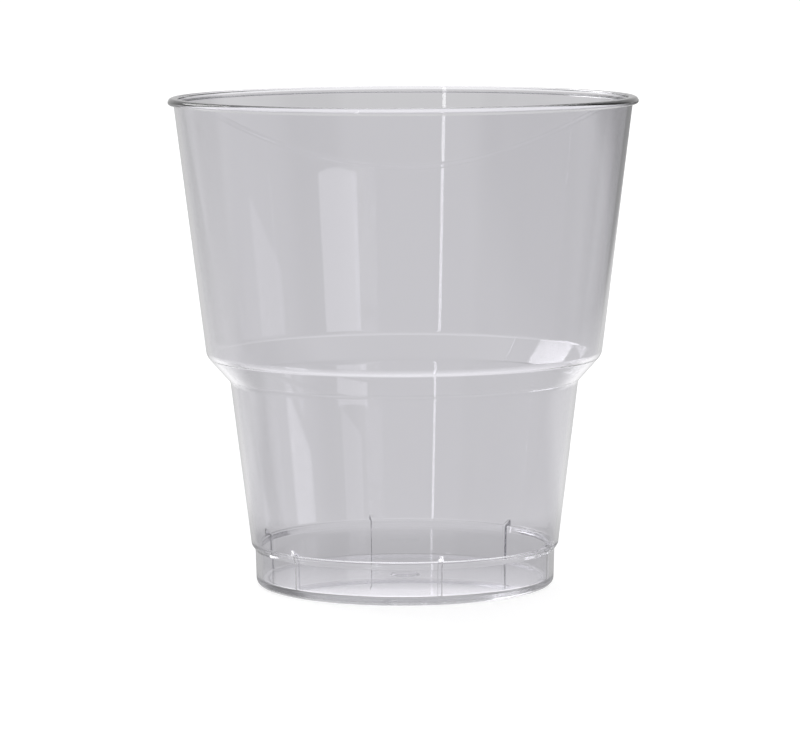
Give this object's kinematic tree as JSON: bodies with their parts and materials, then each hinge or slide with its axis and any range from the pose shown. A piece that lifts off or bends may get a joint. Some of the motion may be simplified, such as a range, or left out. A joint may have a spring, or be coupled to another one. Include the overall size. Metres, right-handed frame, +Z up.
{
  "type": "drinking tumbler",
  "caption": "Clear plastic drinking tumbler with a beaded rim, a stepped shoulder below mid height, tapered walls and a low foot with small stacking ribs inside.",
  "frame": {"origin": "centre of the standing ring's face, on the table", "axes": "+Z up along the cup's axis, from the foot to the rim; +Y away from the viewer and +X to the right when the cup is seen as in the picture"},
  "size_m": [0.08, 0.08, 0.0836],
  "materials": {
    "clear_plastic": "clear, smooth and glossy"
  },
  "bodies": {
    "root": {"tumbler": "clear_plastic"}
  },
  "joints": []
}
